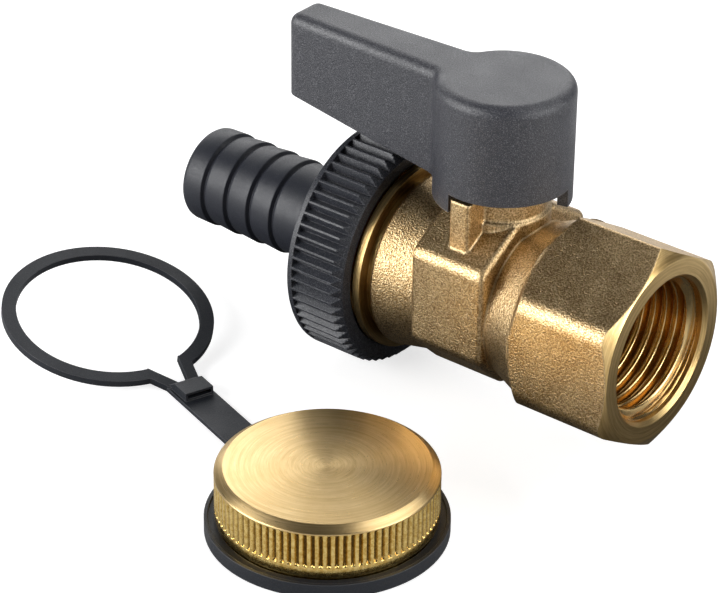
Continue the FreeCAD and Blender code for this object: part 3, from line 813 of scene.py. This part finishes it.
def make_cap():
    """Make the turned closing cap with its fine straight knurl, groove and lip."""
    root_r = cap_knurl_r - cap_knurl_depth
    groove_r = cap_knurl_r - cap_groove_inset
    band_bottom = cap_lip_height + cap_groove_height
    soft = cap_edge_round
    steps = [knurl_end_fade * share for share in (0.0, 0.1, 0.3, 0.6, 1.0)]
    grip = [knurl_bottom + step for step in steps] + [knurl_top - step for step in reversed(steps)]
    outline = rounded(
        [(0, outlet_thread_r, soft), (0, cap_knurl_r + cap_lip_proud, soft),
         (cap_lip_height, cap_knurl_r + cap_lip_proud, soft), (cap_lip_height, groove_r),
         (band_bottom, groove_r), (band_bottom, cap_knurl_r, soft)]
        + [(along, cap_knurl_r) for along in grip]
        + [(cap_height - cap_top_chamfer, cap_knurl_r, cap_chamfer_round),
           (cap_height, cap_knurl_r - cap_top_inset, cap_top_round),
           (cap_height, cap_hole_r), (cap_depth, cap_hole_r), (cap_depth, cap_relief_r),
           (cap_thread_length, cap_relief_r), (cap_thread_length, outlet_thread_r)])

    def shape(angle, along, radius):
        if not knurl_bottom < along < knurl_top or radius < root_r:
            return radius
        rise = tooth(angle, cap_knurl_count, cap_knurl_crest_share)
        from_end = min(along - knurl_bottom, knurl_top - along) / knurl_end_fade
        depth = cap_knurl_depth * min(1.0, math.sqrt(from_end))
        return radius - depth * (1 - rise * rise * (3 - 2 * rise))

    mesh_data = spun(outline, cap_knurl_count * cap_points_per_tooth, about_cap, shape)
    make_piece(
        "knurled_closing_cap", mesh_data, turned_brass, "cap", "closing_cap", cap_sharp_deg)


make_threads()
make_nut()
make_tail()
make_cap()


# Stage, light and camera

def make_floor():
    """Lay a plain pale floor under the part, with a painted shadow close to it that only reflections and bounce
    light see.
    """
    half = floor_half_m
    mesh = bpy.data.meshes.new("floor")
    corners = [(-half, -half, floor_z * MM), (half, -half, floor_z * MM), (half, half, floor_z * MM),
               (-half, half, floor_z * MM)]
    mesh.from_pydata(corners, [], [(0, 1, 2, 3)])
    material, tree, shader = start_finish("floor_paper", Roughness=0.9)
    where = position(tree)
    paper = mix_colour(tree, noise(tree, where, scale=40.0), paper_dark, paper_pale)
    from_centre = vector_calc(tree, "SUBTRACT", where, floor_shadow_centre)
    oval = vector_calc(tree, "DIVIDE", from_centre, (floor_shadow_stretch, 1, 1))
    away = vector_calc(tree, "LENGTH", oval, output="Value")
    pale = spread(tree, away, floor_shadow_r * MM, floor_pale_r * MM)
    # Painted shadow round the part, for every ray but the camera's
    shadowed = mix_colour(tree, pale, floor_shadow_grey, paper)
    seen = place(tree, "LightPath").outputs["Is Camera Ray"]
    feed(tree, shader["Base Color"], mix_colour(tree, seen, shadowed, paper))
    feed(tree, shader["Emission Color"], glow_white)
    feed(tree, shader["Emission Strength"], calc(tree, "MULTIPLY", seen, floor_glow))
    mesh.materials.append(material)
    floor = bpy.data.objects.new("floor", mesh)
    bpy.context.scene.collection.objects.link(floor)


def make_light(name, direction, distance, width, height, power):
    """Hang a soft light box that faces the valve."""
    data = bpy.data.lights.new(name, "AREA")
    data.shape = "RECTANGLE"
    data.size = width
    data.size_y = height
    data.energy = power
    light = bpy.data.objects.new(name, data)
    light.location = Vector(light_aim) * MM + Vector(direction).normalized() * distance
    light.rotation_euler = Vector(direction).to_track_quat("Z", "Y").to_euler()
    bpy.context.scene.collection.objects.link(light)


def make_studio():
    """Hang the light boxes under a pale sky, dim in what the part reflects."""
    world = bpy.data.worlds.new("studio")
    world.use_nodes = True
    tree = world.node_tree
    background = tree.nodes["Background"].inputs
    background["Color"].default_value = sky_tint
    seen = place(tree, "LightPath").outputs["Is Camera Ray"]
    feed(tree, background["Strength"], spread(tree, seen, 0.0, 1.0, sky_strength, 1.0))
    bpy.context.scene.world = world
    make_light(
        "front_left_box", direction=(-0.55, -0.77, 0.32), distance=0.9, width=0.8, height=0.6, power=10.5)
    make_light(
        "top_right_box", direction=(0.45, 0.35, 0.82), distance=1.0, width=0.9, height=0.7, power=4.0)
    make_light(
        "back_left_box", direction=(-0.6, 0.72, 0.45), distance=1.1, width=1.3, height=0.8, power=7.5)
    make_light(
        "right_box", direction=(0.95, 0.15, 0.24), distance=0.9, width=0.7, height=0.4, power=6.0)


def make_camera():
    """Set the camera where the photograph was taken from."""
    data = bpy.data.cameras.new("photo_camera")
    data.sensor_width = 36.0
    data.lens = camera_lens
    data.clip_start = 0.01
    camera = bpy.data.objects.new("photo_camera", data)
    camera.location = Vector(camera_place) * MM
    level = Euler((math.radians(90 - camera_elevation_deg), 0.0, math.radians(camera_azimuth_deg)))
    roll = Matrix.Rotation(math.radians(camera_roll_deg), 3, "Z")
    camera.rotation_euler = (level.to_matrix() @ roll).to_euler()
    bpy.context.scene.collection.objects.link(camera)
    bpy.context.scene.camera = camera


make_floor()
make_studio()
make_camera()
bpy.context.scene.view_settings.view_transform = "Standard"
